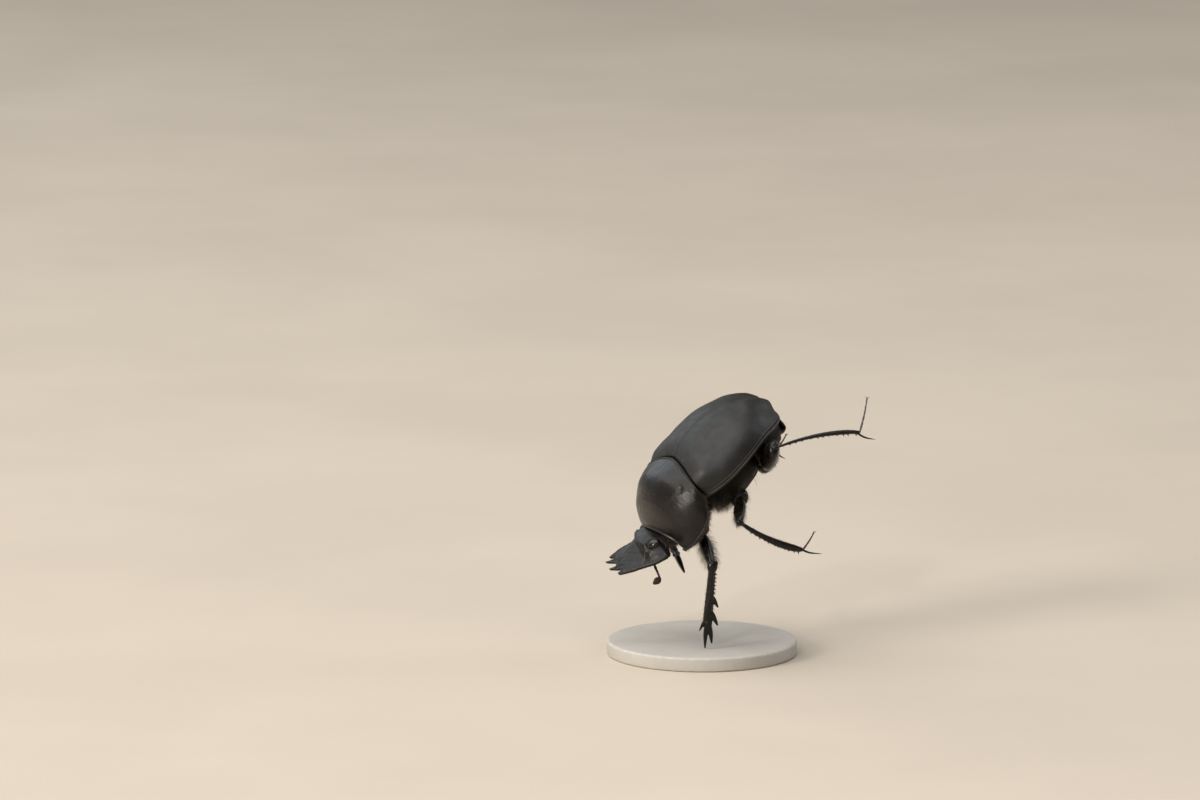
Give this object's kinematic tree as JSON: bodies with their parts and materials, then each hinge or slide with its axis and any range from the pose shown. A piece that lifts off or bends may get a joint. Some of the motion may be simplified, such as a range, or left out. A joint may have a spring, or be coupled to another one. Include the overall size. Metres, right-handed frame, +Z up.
{
  "type": "dung beetle model",
  "caption": "Life-size still model of a ball-rolling dung beetle, head down on one foreleg with its other legs raised, on a plain round base.",
  "frame": {"origin": "centre of the underside of the round base", "axes": "+Z up, -Y the way the beetle heads, +X its left side"},
  "size_m": [0.0254, 0.0308, 0.0331],
  "materials": {
    "cuticle_head": "satin black cuticle, granulate, with a shiny rim",
    "cuticle_pronotum": "satin black cuticle with fine punctures",
    "cuticle_elytra": "satin black cuticle with faint striae and fine shagreen",
    "cuticle_underside": "black cuticle, set with brown hairs",
    "cuticle_legs": "shiny black cuticle",
    "eye": "glossy black, finely faceted",
    "antenna": "dark reddish brown",
    "mouthparts": "dark brown",
    "tarsus": "dark brown",
    "setae": "reddish brown stiff hairs",
    "stand": "matt pale grey"
  },
  "bodies": {
    "root": {"head": "cuticle_head", "eye_left": "eye", "eye_right": "eye", "antenna_left": "antenna", "antenna_right": "antenna", "mouthparts": "mouthparts", "pronotum": "cuticle_pronotum", "elytron_left": "cuticle_elytra", "elytron_right": "cuticle_elytra", "prothorax_underside": "cuticle_underside", "thorax_underside": "cuticle_underside", "abdomen": "cuticle_underside", "pygidium": "cuticle_underside", "coxa_fore_left": "cuticle_legs", "femur_fore_left": "cuticle_legs", "tibia_fore_left": "cuticle_legs", "coxa_fore_right": "cuticle_legs", "femur_fore_right": "cuticle_legs", "tibia_fore_right": "cuticle_legs", "coxa_mid_left": "cuticle_legs", "femur_mid_left": "cuticle_legs", "tibia_mid_left": "cuticle_legs", "tarsus_mid_left": "tarsus", "coxa_mid_right": "cuticle_legs", "femur_mid_right": "cuticle_legs", "tibia_mid_right": "cuticle_legs", "tarsus_mid_right": "tarsus", "coxa_hind_left": "cuticle_legs", "femur_hind_left": "cuticle_legs", "tibia_hind_left": "cuticle_legs", "tarsus_hind_left": "tarsus", "coxa_hind_right": "cuticle_legs", "femur_hind_right": "cuticle_legs", "tibia_hind_right": "cuticle_legs", "tarsus_hind_right": "tarsus", "stand_base": "stand"}
  },
  "joints": []
}
